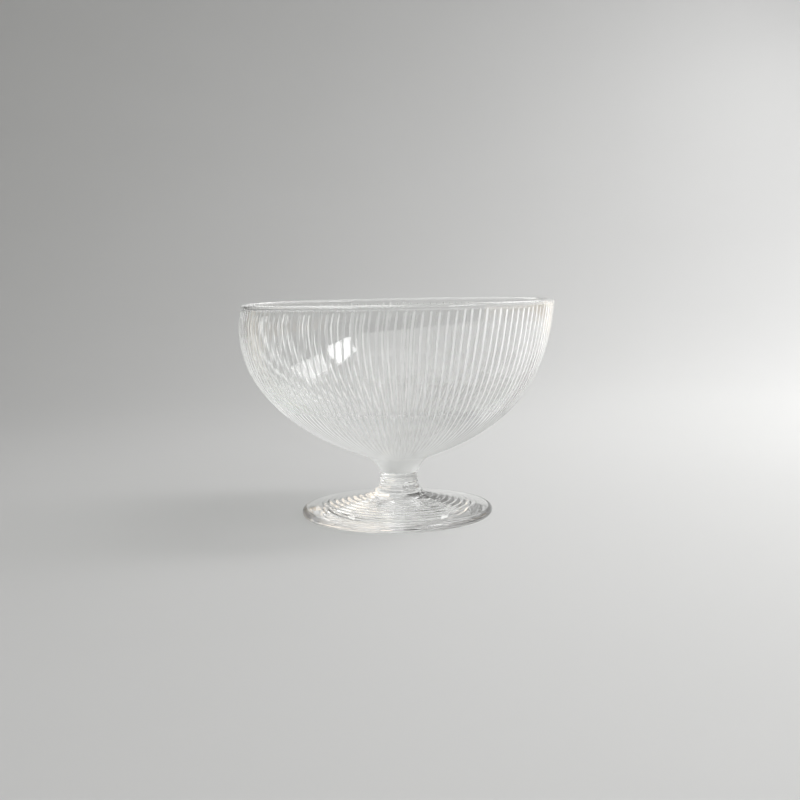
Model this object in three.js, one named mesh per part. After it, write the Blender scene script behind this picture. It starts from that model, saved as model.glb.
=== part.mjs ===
// A footed glass compote dish in millimetres, +Z up, standing on z = 0 with its axis on Z.
// Three pieces of glass are joined hot, face to face: a blown bowl, a short spool of a stem, a foot.
import * as THREE from "three";

// Driving dimensions in millimetres, angles in degrees

// Bowl
const BOWL_HEIGHT = 60.6; // from the end of its neck to the top of its lip
const RIM_DIAMETER = 110.4; // over the lip
const LIP_THICKNESS = 2.1; // the lip is a round bead
const LIP_START = 15; // the bead starts this far under its widest point
const WALL = 1.6; // thickness of the side under the lip
const BOTTOM_WALL = 4; // thickness where the bottom runs into the neck
const THICKENING = 3; // power with which the wall gains thickness towards the neck
const WALL_LEAN = 2.7; // the side spreads by this angle under the lip
const WALL_REACH = 27.5; // how far the side keeps to that lean before it turns in
const BOTTOM_SLOPE = 19.5; // the bottom leaves the neck at this angle above level
const BOTTOM_REACH = 30; // how far the bottom keeps to that slope before it turns up
const NECK_FLARE = 8.9; // radius of the hollow curve from the waist up to the bottom
const NECK_SWEEP = 60; // how much of that curve there is

// Stem
const STEM_LENGTH = 4.8; // between its two joints, with the waist half way
const WAIST_DIAMETER = 13.2;

// Foot
const FOOT_HEIGHT = 10.8; // from the table to the joint with the stem
const FOOT_DIAMETER = 68.2;
const EDGE_THICKNESS = 3.1; // the edge is a round bead
const EDGE_BAND = 1.9; // nearly level band inside the edge bead
const COLLAR_FLARE = 6.3; // radius of the hollow curve from the waist down to the disc
const COLLAR_SWEEP = 76; // how much of that curve there is
const REST_WIDTH = 4.5; // flat ring underneath that the dish stands on
const HOLLOW_DEPTH = 1.8; // the underside rises to this height at the axis

// Facets
const SEGMENTS = 64; // around the axis
const LONG_STEPS = 14; // along the bowl's wall
const ARC_STEPS = 6; // along each short curve

// Sizes that follow
const WAIST_RADIUS = WAIST_DIAMETER / 2;
const LIP_RADIUS = LIP_THICKNESS / 2;
const EDGE_RADIUS = EDGE_THICKNESS / 2;
const HALF_STEM = STEM_LENGTH / 2;

const radians = THREE.MathUtils.degToRad;
const point = (r, z) => new THREE.Vector2(r, z);

// An arc of the outline, between two angles in degrees that count up from level.
function arc(centre, radius, from, to) {
  const clockwise = to < from;
  return new THREE.EllipseCurve(
    centre.x,
    centre.y,
    radius,
    radius,
    radians(from),
    radians(to),
    clockwise,
  );
}

// The angle at which a flare of this radius, level with the waist at 0, meets the end of the stem.
const jointAngle = (flare) => THREE.MathUtils.radToDeg(Math.asin(HALF_STEM / flare));

// One closed body of glass: the outline runs from the axis, round the outside, back to the axis.
function turned(name, outline, material) {
  const geometry = new THREE.LatheGeometry(outline, SEGMENTS).rotateX(Math.PI / 2);
  const mesh = new THREE.Mesh(geometry, material);
  mesh.name = name;
  return mesh;
}

const linedGlass = new THREE.MeshStandardMaterial({
  color: 0xf1f3f0,
  roughness: 0.15,
  metalness: 0,
  transparent: true,
  opacity: 0.5,
});
const clearGlass = new THREE.MeshStandardMaterial({
  color: 0xe8eeea,
  roughness: 0.03,
  metalness: 0,
  transparent: true,
  opacity: 0.35,
});

// The bowl, with z = 0 at the end of its neck.
function bowl() {
  const flareCentre = point(WAIST_RADIUS + NECK_FLARE, -HALF_STEM);
  const neck = arc(flareCentre, NECK_FLARE, 180 - jointAngle(NECK_FLARE), 180 - NECK_SWEEP);
  const neckTop = neck.getPoint(1);

  const lipCentre = point(RIM_DIAMETER / 2 - LIP_RADIUS, BOWL_HEIGHT - LIP_RADIUS);
  const lip = arc(lipCentre, LIP_RADIUS, -LIP_START, 180 + LIP_START);
  const lipStart = lip.getPoint(0);

  const slope = radians(BOTTOM_SLOPE);
  const lean = radians(WALL_LEAN);
  const bottomHandle = point(Math.cos(slope), Math.sin(slope)).multiplyScalar(BOTTOM_REACH);
  const wallHandle = point(Math.sin(lean), -Math.cos(lean)).multiplyScalar(WALL_REACH);
  const wall = new THREE.CubicBezierCurve(
    neckTop,
    bottomHandle.add(neckTop),
    wallHandle.add(lipStart),
    lipStart,
  );

  // The inside follows the outside at the wall's thickness, from under the lip to the neck.
  const insideAt = (t) => {
    const thickness = WALL + (BOTTOM_WALL - WALL) * (1 - t) ** THICKENING;
    const along = wall.getTangent(t);
    return point(-along.y, along.x).multiplyScalar(thickness).add(wall.getPoint(t));
  };
  const inside = [];
  for (let step = LONG_STEPS - 1; step >= 0; step -= 1) {
    inside.push(insideAt(step / LONG_STEPS));
  }

  // Over the neck it rounds off level on the axis.
  const floorEdge = inside.at(-1);
  const floorHeight = floorEdge.y - (floorEdge.x / 2) * Math.tan(slope);
  const floor = new THREE.QuadraticBezierCurve(
    floorEdge,
    point(floorEdge.x / 2, floorHeight),
    point(0, floorHeight),
  );

  const outline = [
    point(0, 0),
    ...neck.getPoints(ARC_STEPS),
    ...wall.getPoints(LONG_STEPS).slice(1),
    ...lip.getPoints(ARC_STEPS).slice(1),
    ...inside,
    ...floor.getPoints(ARC_STEPS).slice(1),
  ];
  return turned("bowl", outline, linedGlass);
}

// The stem, with z = 0 at its joint with the foot.
function stem() {
  const lowerCentre = point(WAIST_RADIUS + COLLAR_FLARE, HALF_STEM);
  const upperCentre = point(WAIST_RADIUS + NECK_FLARE, HALF_STEM);
  const lower = arc(lowerCentre, COLLAR_FLARE, 180 + jointAngle(COLLAR_FLARE), 180);
  const upper = arc(upperCentre, NECK_FLARE, 180, 180 - jointAngle(NECK_FLARE));
  const outline = [
    point(0, 0),
    ...lower.getPoints(ARC_STEPS),
    ...upper.getPoints(ARC_STEPS).slice(1),
    point(0, STEM_LENGTH),
  ];
  return turned("stem", outline, clearGlass);
}

// The foot, with z = 0 on the table.
function foot() {
  const edgeCentre = point(FOOT_DIAMETER / 2 - EDGE_RADIUS, EDGE_RADIUS);
  const edge = arc(edgeCentre, EDGE_RADIUS, -90, 90);

  const restInside = edgeCentre.x - REST_WIDTH;
  const hollow = new THREE.QuadraticBezierCurve(
    point(0, HOLLOW_DEPTH),
    point(restInside / 2, HOLLOW_DEPTH),
    point(restInside, 0),
  );

  const flareCentre = point(WAIST_RADIUS + COLLAR_FLARE, FOOT_HEIGHT + HALF_STEM);
  const collar = arc(flareCentre, COLLAR_FLARE, 180 + COLLAR_SWEEP, 180 + jointAngle(COLLAR_FLARE));
  const disc = new THREE.QuadraticBezierCurve(
    point(edgeCentre.x, EDGE_THICKNESS),
    point(edgeCentre.x - EDGE_BAND, EDGE_THICKNESS),
    collar.getPoint(0),
  );

  const outline = [
    ...hollow.getPoints(ARC_STEPS),
    ...edge.getPoints(ARC_STEPS),
    ...disc.getPoints(ARC_STEPS).slice(1),
    ...collar.getPoints(ARC_STEPS).slice(1),
    point(0, FOOT_HEIGHT),
  ];
  return turned("foot", outline, clearGlass);
}

// The bowl stands on the stem, and the stem on the foot.
const footPiece = foot();
const stemPiece = stem();
stemPiece.position.z = FOOT_HEIGHT;
const bowlPiece = bowl();
bowlPiece.position.z = FOOT_HEIGHT + STEM_LENGTH;

const compoteDish = new THREE.Group();
compoteDish.add(footPiece, stemPiece, bowlPiece);

export default compoteDish;
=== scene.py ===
import math

import bpy
import numpy as np
from mathutils import Matrix, Vector


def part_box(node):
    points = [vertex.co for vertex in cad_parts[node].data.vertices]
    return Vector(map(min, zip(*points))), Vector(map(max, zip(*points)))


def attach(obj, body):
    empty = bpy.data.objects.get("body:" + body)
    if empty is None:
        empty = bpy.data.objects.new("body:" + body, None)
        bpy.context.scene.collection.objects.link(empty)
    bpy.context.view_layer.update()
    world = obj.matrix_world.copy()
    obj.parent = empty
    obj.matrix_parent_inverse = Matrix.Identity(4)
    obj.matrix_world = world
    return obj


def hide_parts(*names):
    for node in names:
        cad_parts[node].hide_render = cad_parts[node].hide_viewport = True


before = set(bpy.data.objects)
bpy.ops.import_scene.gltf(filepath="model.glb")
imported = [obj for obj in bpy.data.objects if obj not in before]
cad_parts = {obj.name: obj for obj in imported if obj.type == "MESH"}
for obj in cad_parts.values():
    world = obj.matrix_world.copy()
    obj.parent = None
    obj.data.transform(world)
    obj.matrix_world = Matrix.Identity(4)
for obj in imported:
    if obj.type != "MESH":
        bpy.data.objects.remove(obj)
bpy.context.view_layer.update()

# A footed glass dish with fine ground lines in its bowl, in metres, +Z up, standing on z = 0.
# Three pieces of glass are fused end to end: bowl, stem and foot. Outlines are (radius, height).

MM = 0.001
rng = np.random.default_rng(seed=11)

bowl_low, bowl_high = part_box("bowl")
stem_low, stem_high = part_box("stem")
_, foot_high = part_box("foot")

# Bowl
RIM_RADIUS = bowl_high.x
RIM_HEIGHT = bowl_high.z
NECK_END = bowl_low.z
LIP_RADIUS = 1.05 * MM
LIP_START = 15  # degrees: the lip bead starts this far under its widest point
LIP_STEPS = 15
WALL = 1.6 * MM
BOTTOM_WALL = 4 * MM
THICKENING = 3  # power with which the wall gains thickness towards the neck
WALL_LEAN = math.radians(2.7)
WALL_REACH = 27.5 * MM
BOTTOM_SLOPE = math.radians(19.5)
BOTTOM_REACH = 30 * MM
NECK_FLARE = 8.9 * MM
NECK_SWEEP = 60  # degrees
NECK_STEPS = 10
OUTSIDE_STEPS = 72
OUTSIDE_CROWDING = 1.6  # power that crowds the steps of the outside towards the lip
INSIDE_STEPS = 42
INSIDE_START = 2  # first step of the inside that is clear of the lip
FLOOR_STEPS = 7

# Ground lines in the outside of the bowl
LINES = 128
LINE_WIDTH = 0.68 * MM  # at the rim
LINE_GAIN = 0.13 * MM  # by which a line would be wider at the axis
LINE_DEPTH = 0.02 * MM
LINE_SHARE = 0.96  # the most of the pitch that a line takes
LINE_MARGIN = 0.1 * MM  # width of the narrow strip on each side of a gap
LINE_TOP = 74.4 * MM
LINE_TOP_SCATTER = 0.45 * MM
LINE_TIP = 0.6 * MM  # length over which a line narrows to its tip
TIP_LEAST = 0.1  # a tip keeps the square root of this share of its width
GROOVE_RISE = 1.2 * MM  # length over which a groove runs out under its tip
LINE_STRIPS = 2  # strips of faces in a line, the two sides of its groove
GAP_STRIPS = 3  # strips of faces between two lines
GROOVE_BED = 1  # column of points in the middle of a line

# Unsteady hand: shares of the pitch for the place of a line, and shares of its width
PLACE_SCATTER = 0.06
LONG_SWAY = 0.03
LONG_SWAY_LENGTHS = (25 * MM, 60 * MM)
SHORT_SWAY = 0.006
SHORT_SWAY_LENGTHS = (8 * MM, 14 * MM)
WIDTH_SCATTER = 0.1
WIDTH_WAVE = 0.07
WIDTH_WAVE_LENGTHS = (9 * MM, 25 * MM)

# Haze between the lines, and the milky bottom
HAZE_FULL = 30 * MM  # the haze starts to thin out here
HAZE_TOP = 52 * MM  # and has become clear glass here
HAZE_SCATTER = 2.5 * MM
MILK_TOP = 20.9 * MM  # below this the lines have run together
GROOVE_FULL = MILK_TOP * 1.5  # the grooves reach their full depth here

# Stem
WAIST_RADIUS = 6.6 * MM
WAIST_HEIGHT = (stem_low.z + stem_high.z) / 2
RING_PITCH = 1.4 * MM
RING_HEIGHT = 0.06 * MM
CREASE_DEPTH = 0.14 * MM
CREASE_WIDTH = 0.22 * MM
CREASE_PLACE = 1.8  # widths of the crease, down from the top of the stem
STEM_STEPS = 24
STEM_COLUMNS = 160

# Foot
FOOT_RADIUS = foot_high.x
FOOT_TOP = foot_high.z
EDGE_RADIUS = 1.55 * MM
EDGE_BAND = 1.9 * MM
EDGE_STEPS = 21
COLLAR_FLARE = 6.3 * MM
COLLAR_SWEEP = 76  # degrees
COLLAR_STEPS = 36
COLLAR_BLEND = 1 * MM  # the tool rings end over this much on each side of the ripples' start
REST_WIDTH = 4.5 * MM
HOLLOW_DEPTH = 1.8 * MM
HOLLOW_STEPS = 25
DISC_STEPS = 120
FOOT_COLUMNS = 224

# Ring ripples in the upper face of the foot
RIPPLE_PITCH = 2.1 * MM
RIPPLE_HEIGHT = 0.06 * MM
RIPPLE_INSIDE = 8 * MM
RIPPLE_RISE = 2 * MM
RIPPLE_OUTSIDE = 28 * MM
RIPPLE_FALL = 3 * MM
RIPPLE_BACK = 0.15  # share of the ripples' height that is left at the back
BACK_END = -0.45  # the ripples grow between these two, where -1 is the back and 1 the front
FRONT_START = 0.25
# Swings of the ripples' phase round the foot: size, number of swings, start
WANDER = ((0.5, 2, 0.6), (0.24, 5, 2.1), (0.08, 23, 0))

# Hand-made lean: sideways drift of the axis at four heights, and the tilt of the rim
DRIFT_HEIGHTS = np.array((0, 13, 48, 75)) * MM
DRIFTS = np.array((-0.6, 0.3, -0.75, 0.6)) * MM
RIM_TILT = math.radians(0.43)

# Glass
IOR = 1.51
CLEAR_SHADE = (0.975, 0.98, 0.975)  # share of the light that a surface lets through to other things
GROUND_SHADE = (0.8, 0.8, 0.8)
GROUND_CLEAR = 0.12  # share of clear glass in the lines
HAZE_CLEAR = 0.4  # and in the full haze
THROUGH_SHARE = 0.3  # share of the light on ground glass that comes out on the other side
GRAIN_LIFT = 8 * MM  # by which the grain shifts what changes with height
PAINTED_SHADE_FULL = 25 * MM  # ground glass is painted greyest up to here, as shade on the lower bowl
PAINTED_SHADE_END = 62 * MM  # and whitest from here, where the painted shade ends
SHARP_ANGLE = math.radians(40)

# Camera
CAMERA_PLACE = Vector((1.04, -394.7, 84.5)) * MM
CAMERA_PITCH = math.radians(6.3)
CAMERA_ROLL = math.radians(0.7)
LENS = 50
SENSOR = 36

# Stage
FLOOR_RADIUS = 0.42
FLOOR_LEVEL = -0.05 * MM  # just clear of the foot
FLOOR_CENTRE = 0.02  # radius of the face in the middle
FLOOR_RINGS = 8
COVE_RADIUS = 1.3
COVE_HEIGHT = 1.4
COVE_STEPS = 25
COVE_COLUMNS = 96
# A disc of painted light under the foot
CAUSTIC_LEVEL = -0.03 * MM
CAUSTIC_RADIUS = 32.6 * MM
CAUSTIC_CORNERS = 96
CARD_STEPS = 13


def arc(centre, radius, start, end, steps):
    """Points of an arc between two angles in degrees that count up from level."""
    angles = np.radians(np.linspace(start, end, steps))
    return np.asarray(centre) + radius * np.column_stack((np.cos(angles), np.sin(angles)))


def smooth_curve(handles, places):
    """Points of the curve from the first handle to the last, at places from 0 to 1."""
    points = [np.asarray(handle) for handle in handles]
    places = np.asarray(places)[:, None]
    while len(points) > 1:
        points = [(1 - places) * a + places * b for a, b in zip(points, points[1:])]
    return points[0]


def outward(outline):
    """Unit normals of an outline that runs from the axis round the outside and back."""
    along = np.gradient(outline, axis=0)
    along /= np.linalg.norm(along, axis=1)[:, None]
    return np.column_stack((along[:, 1], -along[:, 0]))


def joint_angle(flare):
    """Angle at which a flare that is level with the waist meets the end of the stem."""
    return math.degrees(math.asin((WAIST_HEIGHT - stem_low.z) / flare))


def smooth(low, high, values):
    """0 below low, 1 above high and a soft step between."""
    share = np.clip((values - low) / (high - low), 0, 1)
    return share * share * (3 - 2 * share)


def settled(points):
    """The points with the hand-made lean of the dish."""
    drift = np.polyval(np.polyfit(DRIFT_HEIGHTS, DRIFTS, deg=3), points[..., 2])
    lift = math.tan(RIM_TILT) * smooth(NECK_END, RIM_HEIGHT, points[..., 2]) * points[..., 0]
    moved = points.copy()
    moved[..., 0] += drift
    moved[..., 2] += lift
    return moved


def even_angles(columns):
    return np.linspace(0, 2 * math.pi, columns, endpoint=False)[None, :]


def spun(outline, angles, proud=0.0):
    """Rings of points: each outline point at its angles, moved out along the outline's normal."""
    normals = outward(outline)
    radius = outline[:, :1] + normals[:, :1] * proud
    height = outline[:, 1:] + normals[:, 1:] * proud
    rings = (radius * np.cos(angles), radius * np.sin(angles), height + 0 * angles)
    return np.stack(rings, axis=-1)


def column_faces(column, columns, count):
    """Faces between one column of points and the next, through all the rings."""
    after = (column + 1) % columns
    faces = []
    for ring in range(count - 1):
        low = ring * columns
        high = low + columns
        faces.append((low + column, low + after, high + after, high + column))
    return faces


def new_mesh(name, points, faces, materials):
    mesh = bpy.data.meshes.new(name)
    mesh.from_pydata(points, [], faces)
    for material in materials:
        mesh.materials.append(material)
    return mesh


def placed(name, data):
    """A new object in the scene."""
    thing = bpy.data.objects.new(name, data)
    bpy.context.collection.objects.link(thing)
    return thing


def turned(name, rings, first_pole, last_pole, materials, face_slots):
    """A closed piece of rings of points, with a fan to a point of the axis at both ends."""
    rings = settled(rings)
    poles = settled(np.array(((0, 0, first_pole), (0, 0, last_pole))))
    count, columns = rings.shape[:2]
    points = np.concatenate((rings.reshape(-1, 3), poles))
    first, last = len(points) - 2, len(points) - 1
    top = (count - 1) * columns
    faces = []
    for column in range(columns):
        after = (column + 1) % columns
        faces.append((first, after, column))
        faces.extend(column_faces(column, columns, count))
        faces.append((top + column, top + after, last))
    mesh = new_mesh(name, points.tolist(), faces, materials)
    mesh.polygons.foreach_set("material_index", face_slots.T.reshape(-1).astype(np.int32))
    mesh.shade_smooth()
    mesh.set_sharp_from_angle(angle=SHARP_ANGLE)
    return placed(name, mesh)


# Material slots of the pieces
CLEAR, GROUND, HAZE, FUSED = 0, 1, 2, 3


def bowl_outline():
    """Outline of the bowl as its outside up to the lip and the rest down to the axis inside."""
    flare_centre = (WAIST_RADIUS + NECK_FLARE, WAIST_HEIGHT)
    neck_start = 180 - joint_angle(NECK_FLARE)
    neck = arc(flare_centre, NECK_FLARE, neck_start, 180 - NECK_SWEEP, NECK_STEPS)
    lip_centre = (RIM_RADIUS - LIP_RADIUS, RIM_HEIGHT - LIP_RADIUS)
    lip = arc(lip_centre, LIP_RADIUS, -LIP_START, 180 + LIP_START, LIP_STEPS)
    bottom_handle = BOTTOM_REACH * np.array((math.cos(BOTTOM_SLOPE), math.sin(BOTTOM_SLOPE)))
    wall_handle = WALL_REACH * np.array((math.sin(WALL_LEAN), -math.cos(WALL_LEAN)))
    handles = (neck[-1], neck[-1] + bottom_handle, lip[0] + wall_handle, lip[0])
    outside = smooth_curve(handles, 1 - np.linspace(1, 0, OUTSIDE_STEPS) ** OUTSIDE_CROWDING)

    places = np.linspace(1, 0, INSIDE_STEPS)
    middle = smooth_curve(handles, places)
    thickness = WALL + (BOTTOM_WALL - WALL) * (1 - places[:, None]) ** THICKENING
    inside = (middle + outward(middle) * thickness)[INSIDE_START:]
    edge_radius, edge_height = inside[-1]
    floor_height = edge_height - edge_radius / 2 * math.tan(BOTTOM_SLOPE)
    floor_handles = (inside[-1], (edge_radius / 2, floor_height), (0, floor_height))
    floor = smooth_curve(floor_handles, np.linspace(0, 1, FLOOR_STEPS))
    rest = np.concatenate((lip[1:], inside, floor[1:-1]))
    return np.concatenate((neck, outside[1:])), rest, floor_height


def waves(count, heights, lengths):
    """Slow waves along the height, one row for each line, between -1 and 1."""
    phases = rng.uniform(0, 2 * math.pi, (count, 1))
    return np.sin(2 * math.pi * heights[None, :] / rng.uniform(*lengths, (count, 1)) + phases)


def make_bowl(materials):
    """The bowl, whose columns of points follow the edges and middles of the ground lines."""
    outside, rest, floor_height = bowl_outline()
    outline = np.concatenate((outside, rest))
    heights = np.concatenate((outside[:, 1], np.full(len(rest), RIM_HEIGHT)))
    radii = np.concatenate((outside[:, 0], np.full(len(rest), RIM_RADIUS)))
    on_outside = np.arange(len(outline)) < len(outside)

    pitch = 2 * math.pi / LINES
    scatter = rng.uniform(-PLACE_SCATTER, PLACE_SCATTER, (LINES, 1))
    centres = pitch * (np.arange(LINES)[:, None] + scatter)
    long_sway = LONG_SWAY * waves(LINES, heights, LONG_SWAY_LENGTHS)
    short_sway = SHORT_SWAY * waves(LINES, heights, SHORT_SWAY_LENGTHS)
    centres = centres + pitch * (long_sway + short_sway)
    tops = LINE_TOP + LINE_TOP_SCATTER * rng.uniform(-1, 1, (LINES, 1))
    tip = np.sqrt(np.clip((tops - heights) / LINE_TIP, TIP_LEAST, 1))
    boldness = 1 + WIDTH_SCATTER * rng.uniform(-1, 1, (LINES, 1))
    boldness = boldness + WIDTH_WAVE * waves(LINES, heights, WIDTH_WAVE_LENGTHS)
    widths = (LINE_WIDTH + LINE_GAIN * (1 - radii / RIM_RADIUS)) / radii * boldness * tip
    widths = np.minimum(widths, LINE_SHARE * pitch)
    left = centres - widths / 2
    right = centres + widths / 2
    next_left = np.roll(left, -1, axis=0)
    next_left[-1] += 2 * math.pi
    margin = np.minimum(LINE_MARGIN / radii, (next_left - right) / 4)
    columns = np.stack((left, centres, right, right + margin, next_left - margin), axis=1)
    angles = columns.reshape(-1, len(outline)).T

    strips = LINE_STRIPS + GAP_STRIPS
    depth = LINE_DEPTH * smooth(0, GROOVE_RISE, tops - heights)
    depth = depth * smooth(MILK_TOP, GROOVE_FULL, heights)
    proud = np.zeros((LINES, strips, len(outline)))
    proud[:, GROOVE_BED] = -depth * on_outside
    rings = spun(outline, angles, proud.reshape(-1, len(outline)).T)

    middles = (heights[1:] + heights[:-1]) / 2
    slots = np.full((LINES, strips, len(outline) + 1), CLEAR)
    ground = np.where(on_outside[1:] & (middles < tops), GROUND, CLEAR)
    slots[:, :LINE_STRIPS, 1:-1] = ground[:, None, :]
    haze_tops = HAZE_TOP + HAZE_SCATTER * rng.uniform(-1, 1, (LINES, 1))
    hazy = np.where(on_outside[1:] & (middles < haze_tops), HAZE, CLEAR)
    slots[:, LINE_STRIPS:, 1:-1] = hazy[:, None, :]
    slots[:, :, 1:-1][:, :, on_outside[1:] & (middles < MILK_TOP)] = GROUND
    slots[:, :, 0] = FUSED
    face_slots = slots.reshape(-1, len(outline) + 1).T
    return turned("bowl_glass", rings, NECK_END, floor_height, materials, face_slots)


def tool_rings(heights):
    """Shallow rings that the tools left round the stem, and a crease under the neck."""
    rings = np.sin(2 * math.pi * (heights - stem_high.z) / RING_PITCH)
    crease = np.exp(-(((stem_high.z - heights) / CREASE_WIDTH - CREASE_PLACE) ** 2))
    return RING_HEIGHT * rings - CREASE_DEPTH * crease


def make_stem(materials):
    """The stem, with the marks of the tools."""
    lower_centre = (WAIST_RADIUS + COLLAR_FLARE, WAIST_HEIGHT)
    upper_centre = (WAIST_RADIUS + NECK_FLARE, WAIST_HEIGHT)
    lower = arc(lower_centre, COLLAR_FLARE, 180 + joint_angle(COLLAR_FLARE), 180, STEM_STEPS)
    upper = arc(upper_centre, NECK_FLARE, 180, 180 - joint_angle(NECK_FLARE), STEM_STEPS)
    outline = np.concatenate((lower, upper[1:]))
    rings = spun(outline, even_angles(STEM_COLUMNS), tool_rings(outline[:, 1:]))
    face_slots = np.full((len(outline) + 1, rings.shape[1]), CLEAR)
    face_slots[0] = face_slots[-1] = FUSED
    return turned("stem_glass", rings, stem_low.z, stem_high.z, materials, face_slots)


def make_foot(materials):
    """The foot, hollow underneath, with ripples on its disc and tool rings on its collar."""
    edge_centre = np.array((FOOT_RADIUS - EDGE_RADIUS, EDGE_RADIUS))
    edge = arc(edge_centre, EDGE_RADIUS, -90, 90, EDGE_STEPS)
    rest_inside = edge_centre[0] - REST_WIDTH
    hollow_handles = ((0, HOLLOW_DEPTH), (rest_inside / 2, HOLLOW_DEPTH), (rest_inside, 0))
    hollow = smooth_curve(hollow_handles, np.linspace(0, 1, HOLLOW_STEPS))[1:]
    flare_centre = (WAIST_RADIUS + COLLAR_FLARE, WAIST_HEIGHT)
    collar_end = 180 + joint_angle(COLLAR_FLARE)
    collar = arc(flare_centre, COLLAR_FLARE, 180 + COLLAR_SWEEP, collar_end, COLLAR_STEPS)
    disc_handles = (edge[-1], edge[-1] - np.array((EDGE_BAND, 0)), collar[0])
    disc = smooth_curve(disc_handles, np.linspace(0, 1, DISC_STEPS))
    outline = np.concatenate((hollow, edge, disc[1:], collar[1:]))
    angles = even_angles(FOOT_COLUMNS)

    radius = outline[:, :1]
    on_top = (np.arange(len(outline)) >= len(hollow) + len(edge))[:, None]
    reach = smooth(RIPPLE_INSIDE, RIPPLE_INSIDE + RIPPLE_RISE, radius)
    reach = reach * (1 - smooth(RIPPLE_OUTSIDE - RIPPLE_FALL, RIPPLE_OUTSIDE, radius))
    towards_front = smooth(BACK_END, FRONT_START, -np.sin(angles))
    reach = reach * (RIPPLE_BACK + (1 - RIPPLE_BACK) * towards_front)
    wander = sum(size * np.sin(count * angles + start) for size, count, start in WANDER)
    ripple = np.sin(2 * math.pi * radius / RIPPLE_PITCH + wander)
    past_collar = smooth(RIPPLE_INSIDE - COLLAR_BLEND, RIPPLE_INSIDE + COLLAR_BLEND, radius)
    on_collar = on_top * (1 - past_collar)
    proud = RIPPLE_HEIGHT * ripple * reach * on_top + tool_rings(outline[:, 1:]) * on_collar
    rings = spun(outline, angles, proud)
    face_slots = np.full((len(outline) + 1, rings.shape[1]), CLEAR)
    face_slots[-1] = FUSED
    return turned("foot_glass", rings, HOLLOW_DEPTH, FOOT_TOP, materials, face_slots)


class Nodes:
    """The node tree of a new material or world, emptied."""

    def __init__(self, owner):
        owner.use_nodes = True
        self.tree = owner.node_tree
        self.tree.nodes.clear()

    def add(self, kind, inputs=None, **settings):
        node = self.tree.nodes.new(kind)
        for name, value in settings.items():
            setattr(node, name, value)
        for name, value in (inputs or {}).items():
            if isinstance(value, bpy.types.NodeSocket):
                self.tree.links.new(value, node.inputs[name])
            else:
                node.inputs[name].default_value = value
        return node


# The Mix node has sockets for every kind of data, and these are the ones for colours
MIX_LOW, MIX_HIGH, MIX_RESULT = 6, 7, 2


def mixed_colour(nodes, factor, low, high):
    """Colour between two ends by a factor."""
    mix = nodes.add("ShaderNodeMix", data_type="RGBA")
    nodes.tree.links.new(factor, mix.inputs["Factor"])
    mix.inputs[MIX_LOW].default_value = (*low, 1)
    mix.inputs[MIX_HIGH].default_value = (*high, 1)
    return mix.outputs[MIX_RESULT]


def object_place(nodes):
    return nodes.add("ShaderNodeTexCoord").outputs["Object"]


def noise(nodes, place, scale, detail):
    inputs = {"Vector": place, "Scale": scale, "Detail": detail}
    return nodes.add("ShaderNodeTexNoise", inputs).outputs["Fac"]


def shifted(nodes, noise_value, share, value):
    """A value plus a share of a noise."""
    inputs = {0: noise_value, 1: share, 2: value}
    return nodes.add("ShaderNodeMath", inputs, operation="MULTIPLY_ADD").outputs[0]


def ranged(nodes, value, start, end, low=0.0, high=1.0):
    """A number that goes from low to high as a value goes from start to end."""
    inputs = {"Value": value, "From Min": start, "From Max": end, "To Min": low, "To Max": high}
    return nodes.add("ShaderNodeMapRange", inputs).outputs[0]


def mottled(nodes, scale, low, high):
    """Colour that wanders softly between two ends."""
    wandering = noise(nodes, object_place(nodes), scale, detail=3.0)
    return mixed_colour(nodes, wandering, low, high)


def finished(nodes, shader):
    nodes.add("ShaderNodeOutputMaterial", {"Surface": shader})


def lit_through(nodes, shader, shade):
    """The glass, which lets lamps through with a light soft shade in place of a caustic."""
    path = nodes.add("ShaderNodeLightPath")
    kinds = {0: path.outputs["Is Shadow Ray"], 1: path.outputs["Is Diffuse Ray"]}
    either = nodes.add("ShaderNodeMath", kinds, operation="MAXIMUM")
    clear = nodes.add("ShaderNodeBsdfTransparent", {"Color": (*shade, 1)})
    parts = {0: either.outputs[0], 1: shader, 2: clear.outputs[0]}
    finished(nodes, nodes.add("ShaderNodeMixShader", parts).outputs[0])


def clear_glass():
    """Clear glass with the faint unevenness of hand-made glass."""
    material = bpy.data.materials.new("clear_glass")
    nodes = Nodes(material)
    cords = noise(nodes, object_place(nodes), scale=90.0, detail=2.0)
    tint = mixed_colour(nodes, cords, (0.988, 0.99, 0.987), (0.998, 0.999, 0.997))
    unevenness = {"Height": cords, "Strength": 0.1, "Distance": 0.1 * MM}
    bump = nodes.add("ShaderNodeBump", unevenness)
    look = {"Base Color": tint, "Normal": bump.outputs[0], "Roughness": 0.0, "IOR": IOR}
    glass = nodes.add("ShaderNodeBsdfPrincipled", {**look, "Transmission Weight": 1.0})
    lit_through(nodes, glass.outputs[0], CLEAR_SHADE)
    return material


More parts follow.
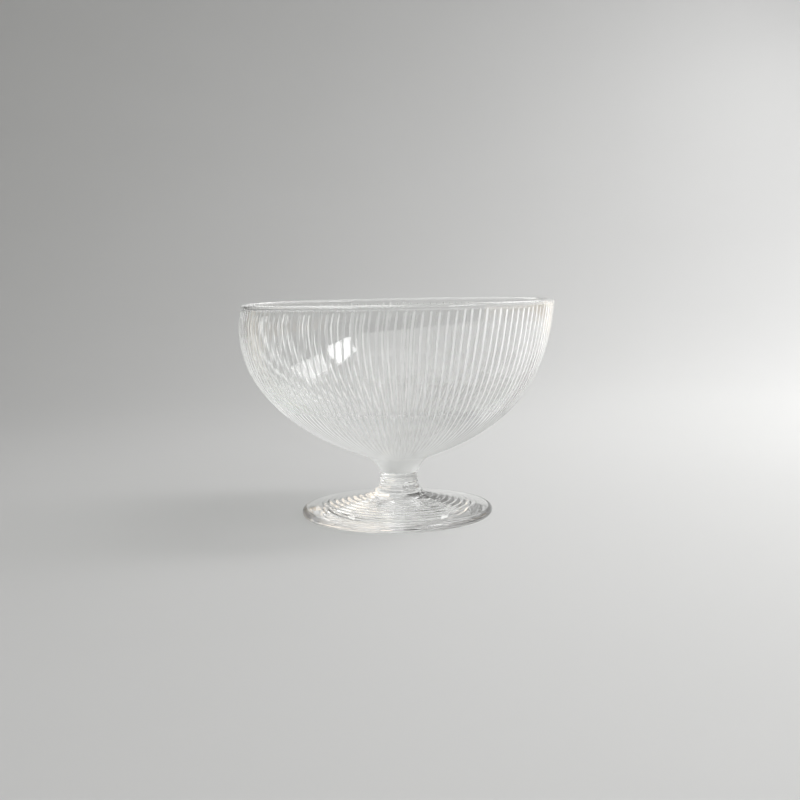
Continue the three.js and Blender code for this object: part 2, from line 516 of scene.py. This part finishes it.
def ground_glass(name, clear_share, thin_from, thin_to):
    """White rough glass, which thins out to clear glass between two heights. Low in the bowl its
    white is greyed by painted shade.
    """
    material = bpy.data.materials.new(name)
    nodes = Nodes(material)
    place = object_place(nodes)
    grain = noise(nodes, place, scale=2500.0, detail=4.0)
    height = nodes.add("ShaderNodeSeparateXYZ", {"Vector": place}).outputs["Z"]
    height = shifted(nodes, grain, GRAIN_LIFT, height)
    # painted shade: the white greys towards the bottom of the bowl
    grade = ranged(nodes, height, PAINTED_SHADE_FULL, PAINTED_SHADE_END)
    shaded_white = mixed_colour(nodes, grade, (0.77, 0.77, 0.765), (0.87, 0.87, 0.865))
    clearness = ranged(nodes, height, thin_from, thin_to, low=clear_share, high=1.0)
    through_share = ranged(nodes, height, thin_from, thin_to, low=THROUGH_SHARE, high=0.0)
    look = {"Base Color": shaded_white, "Roughness": 0.05, "IOR": IOR}
    front = nodes.add("ShaderNodeBsdfPrincipled", {**look, "Transmission Weight": clearness})
    through = nodes.add("ShaderNodeBsdfTranslucent", {"Color": shaded_white})
    parts = {0: through_share, 1: front.outputs[0], 2: through.outputs[0]}
    both = nodes.add("ShaderNodeMixShader", parts)
    lit_through(nodes, both.outputs[0], GROUND_SHADE)
    return material


def fused_glass():
    """Where two pieces have become one glass, there is no surface to see."""
    material = bpy.data.materials.new("fused_glass")
    nodes = Nodes(material)
    finished(nodes, nodes.add("ShaderNodeBsdfTransparent").outputs[0])
    return material


def paper():
    """Pale paper with painted light: lighter on the right, towards the windows."""
    material = bpy.data.materials.new("paper")
    nodes = Nodes(material)
    place = object_place(nodes)
    across = nodes.add("ShaderNodeSeparateXYZ", {"Vector": place}).outputs["X"]
    mottle = noise(nodes, place, scale=6.0, detail=3.0)
    across = shifted(nodes, mottle, share=0.1, value=across)
    # painted light: the paper brightens towards the windows on the right
    grade = ranged(nodes, across, start=-0.7, end=0.8)
    colour = mixed_colour(nodes, grade, (0.485, 0.485, 0.475), (0.775, 0.775, 0.77))
    finished(nodes, nodes.add("ShaderNodeBsdfDiffuse", {"Color": colour}).outputs[0])
    return material


# Painted light: paper whiter than the floor, for the light that the glass gathers under the foot
def painted_caustic_paper():
    material = bpy.data.materials.new("painted_caustic_paper")
    nodes = Nodes(material)
    colour = mottled(nodes, scale=60.0, low=(0.84, 0.84, 0.83), high=(0.92, 0.92, 0.91))
    finished(nodes, nodes.add("ShaderNodeBsdfDiffuse", {"Color": colour}).outputs[0])
    return material


def make_painted_caustic():
    """A disc of whiter paper under the foot: painted light, in place of the light that the glass
    would gather there.
    """
    edge = arc((0, 0), CAUSTIC_RADIUS, 0, 360, CAUSTIC_CORNERS + 1)[:-1]
    points = [(x, y, CAUSTIC_LEVEL) for x, y in edge]
    face = tuple(range(len(points)))
    painted_caustic = placed("painted_caustic", new_mesh("painted_caustic", points, [face], [painted_caustic_paper()]))


def make_stage():
    """A round sheet of pale paper that curves up into a low wall all the way round."""
    wall = np.array(((FLOOR_RADIUS + COVE_RADIUS, COVE_HEIGHT),))
    curve_centre = (FLOOR_RADIUS, COVE_RADIUS + FLOOR_LEVEL)
    curve = arc(curve_centre, COVE_RADIUS, 0, -90, COVE_STEPS)
    floor_radii = np.linspace(FLOOR_RADIUS, FLOOR_CENTRE, FLOOR_RINGS)
    floor = np.column_stack((floor_radii, np.full(FLOOR_RINGS, FLOOR_LEVEL)))
    outline = np.concatenate((wall, curve, floor[1:]))
    rings = spun(outline, even_angles(COVE_COLUMNS))
    count, columns = rings.shape[:2]
    faces = []
    for column in range(columns):
        faces.extend(column_faces(column, columns, count))
    faces.append(tuple((count - 1) * columns + column for column in range(columns)))
    mesh = new_mesh("cove", rings.reshape(-1, 3).tolist(), faces, [paper()])
    mesh.shade_smooth()
    cove = placed("cove", mesh)


# Rules for the rays that see a card: an operation on two counts of a ray, its reflections and the
# count that is named. A ray sees the card where the result is 1 or more.
ANY_REFLECTION = ("MINIMUM", "Glossy Depth")
INSIDE_GLASS = ("MINIMUM", "Transmission Depth")  # at least one reflection and one pass
OFF_OUTSIDE = ("SUBTRACT", "Transmission Depth")  # more reflections than passes
UNDER_ONE = 0.5


def card_colour(name, low, high, rule):
    """Surface of a card that only shows in reflections, so that it never stands behind the glass."""
    material = bpy.data.materials.new(name)
    nodes = Nodes(material)
    colour = mottled(nodes, scale=14.0, low=low, high=high)
    glow = nodes.add("ShaderNodeEmission", {"Color": colour, "Strength": 1.0})
    clear = nodes.add("ShaderNodeBsdfTransparent")
    path = nodes.add("ShaderNodeLightPath")
    operation, depth_name = rule
    depths = {0: path.outputs["Glossy Depth"], 1: path.outputs[depth_name]}
    count = nodes.add("ShaderNodeMath", depths, operation=operation)
    limits = {0: count.outputs[0], 1: UNDER_ONE}
    shown = nodes.add("ShaderNodeMath", limits, operation="GREATER_THAN")
    parts = {0: shown.outputs[0], 1: clear.outputs[0], 2: glow.outputs[0]}
    finished(nodes, nodes.add("ShaderNodeMixShader", parts).outputs[0])
    material.cycles.emission_sampling = "NONE"
    return material


def add_card(name, near, far, start, end, material):
    """A card between two edges of (radius, height), over angles in degrees from the front."""
    angles = np.radians(np.linspace(start, end, CARD_STEPS))
    edge = np.column_stack((np.sin(angles), -np.cos(angles)))
    points = [(radius * x, radius * y, height) for radius, height in (near, far) for x, y in edge]
    count = len(edge)
    faces = [(i, i + 1, count + i + 1, count + i) for i in range(count - 1)]
    card = placed(name, new_mesh(name, points, faces, [material]))
    card.visible_camera = False
    card.visible_diffuse = False
    card.visible_shadow = False


def upright_card(name, radius, bottom, top, start, end, material):
    add_card(name, (radius, bottom), (radius, top), start, end, material)


def make_cards():
    """What the glass mirrors of a room: its dim and bright sides, bare wood and a pale table."""
    dim = card_colour("dim_card", (0.11, 0.11, 0.11), (0.16, 0.155, 0.15), ANY_REFLECTION)
    dark = card_colour("dark_card", (0.03, 0.03, 0.03), (0.06, 0.055, 0.05), INSIDE_GLASS)
    edge = card_colour("edge_card", (0.02, 0.02, 0.02), (0.04, 0.035, 0.03), ANY_REFLECTION)
    wood = card_colour("wood_card", (0.78, 0.65, 0.5), (0.9, 0.76, 0.6), ANY_REFLECTION)
    warm = card_colour("warm_card", (1.25, 1.1, 0.92), (1.6, 1.45, 1.25), INSIDE_GLASS)
    pale = card_colour("pale_card", (1.1, 1.1, 1.08), (1.3, 1.3, 1.28), ANY_REFLECTION)
    bright = card_colour("bright_card", (2.2, 2.2, 2.15), (2.6, 2.6, 2.55), OFF_OUTSIDE)
    mild = card_colour("mild_card", (0.85, 0.85, 0.84), (1.0, 1.0, 0.99), INSIDE_GLASS)
    upright_card("front_card", radius=0.45, bottom=0, top=0.22, start=-20, end=60, material=dim)
    add_card("floor_card", near=(0.05, 0.001), far=(0.44, 0.001), start=-25, end=115, material=pale)
    upright_card("back_card", radius=0.6, bottom=0, top=0.35, start=185, end=262, material=dark)
    upright_card("side_card", radius=0.54, bottom=0, top=0.15, start=60, end=130, material=wood)
    upright_card("edge_card", radius=0.535, bottom=0, top=0.005, start=62, end=125, material=edge)
    upright_card("warm_card", radius=0.5, bottom=0, top=0.16, start=138, end=172, material=warm)
    upright_card("high_card", radius=0.8, bottom=0.43, top=0.62, start=140, end=215, material=bright)
    upright_card("upper_card", radius=0.82, bottom=0.4, top=0.7, start=120, end=240, material=mild)


def add_lamp(name, place, rotation, width, length, radiance):
    """A soft rectangular lamp of even radiance, out of the camera's sight."""
    data = bpy.data.lights.new(name, "AREA")
    data.shape = "RECTANGLE"
    data.size = width
    data.size_y = length
    data.energy = radiance * math.pi * width * length
    lamp = placed(name, data)
    lamp.location = place
    lamp.rotation_euler = rotation
    lamp.visible_camera = False
    return lamp


def add_wash(name, place, rotation, width, length, radiance):
    """A lamp that lights things but is not seen in the glass."""
    lamp = add_lamp(name, place, rotation, width, length, radiance)
    lamp.visible_glossy = False
    lamp.visible_transmission = False
    return lamp


def aimed_wash(name, place, target, width, length, radiance):
    rotation = (Vector(target) - Vector(place)).to_track_quat("-Z", "Y").to_euler()
    return add_wash(name, place, rotation, width, length, radiance)


def make_lights(dish):
    """Two windows that the glass mirrors, washes that it does not, and the light of the room.

    The low wash lights the dish alone. Places and sizes are in metres.
    """
    leftwards = (0, math.radians(90), 0)
    add_lamp("near_window", (0.6, -0.525, 0.6), leftwards, width=0.38, length=0.51, radiance=7.5)
    far = add_lamp("far_window", (0.6, 0.1, 0.62), leftwards, width=0.3, length=0.5, radiance=3.0)
    far.visible_diffuse = False

    add_wash("far_wash", (0.66, 0.9, 0.7), leftwards, width=0.4, length=0.4, radiance=4.8)
    side, side_target = (0.62, 0.13, 0.6), (0, 0.1, 0)
    aimed_wash("side_wash", side, side_target, width=0.3, length=0.8, radiance=8.4)
    top, top_target = (0.9, 0.1, 0.9), (0.5, 0.2, 0)
    aimed_wash("top_wash", top, top_target, width=0.3, length=0.3, radiance=14.0)
    back, back_target = (0.9, 0.6, 1.1), (0.7, 1.6, 0.4)
    aimed_wash("backdrop_wash", back, back_target, width=0.4, length=0.4, radiance=5.8)
    left, left_target = (-0.3, 0.7, 1.1), (-0.6, 1.6, 0.6)
    aimed_wash("left_wash", left, left_target, width=0.4, length=0.4, radiance=1.9)
    right, right_target = (0.9, 0.5, 0.5), (0.7, 1.3, 0)
    aimed_wash("right_wash", right, right_target, width=0.3, length=0.3, radiance=4.7)
    low, low_target = (0.55, -0.23, 0.14), (0, 0, 0.05)
    low_wash = aimed_wash("low_wash", low, low_target, width=0.4, length=0.12, radiance=14.0)
    low_wash.light_linking.receiver_collection = dish

    world = bpy.data.worlds.new("room")
    bpy.context.scene.world = world
    nodes = Nodes(world)
    room = {"Color": (0.78, 0.78, 0.77, 1), "Strength": 1.0}
    shade = nodes.add("ShaderNodeBackground", room)
    nodes.add("ShaderNodeOutputWorld", {"Surface": shade.outputs[0]})
    world.cycles_visibility.diffuse = False
    world.cycles.sampling_method = "NONE"


def make_camera():
    data = bpy.data.cameras.new("camera")
    data.lens = LENS
    data.sensor_width = SENSOR
    camera = placed("camera", data)
    pitch = Matrix.Rotation(math.pi / 2 - CAMERA_PITCH, 4, "X")
    roll = Matrix.Rotation(-CAMERA_ROLL, 4, "Z")
    camera.matrix_world = Matrix.Translation(CAMERA_PLACE) @ pitch @ roll
    bpy.context.scene.camera = camera


def make_dish():
    """The three pieces, in a collection of their own that a lamp can be kept to."""
    # The lines only start to thin out at the lip
    ground = ground_glass("ground_glass", GROUND_CLEAR, RIM_HEIGHT, 2 * RIM_HEIGHT)
    hazy = ground_glass("hazy_glass", HAZE_CLEAR, HAZE_FULL, HAZE_TOP)
    glass = (clear_glass(), ground, hazy, fused_glass())
    made = (
        (make_bowl(glass), "bowl", "lined_glass"),
        (make_stem(glass), "stem", "clear_glass"),
        (make_foot(glass), "foot", "clear_glass"),
    )
    dish = bpy.data.collections.new("dish")
    for piece, node, slot in made:
        dish.objects.link(piece)
        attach(piece, "root")
        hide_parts(node)
    return dish


make_camera()
dish = make_dish()
make_stage()
make_painted_caustic()
make_cards()
make_lights(dish)

scene = bpy.context.scene
scene.view_settings.view_transform = "Standard"
scene.cycles.max_bounces = 32
scene.cycles.glossy_bounces = 16
scene.cycles.transmission_bounces = 24
scene.cycles.transparent_max_bounces = 24
scene.cycles.use_denoising = True
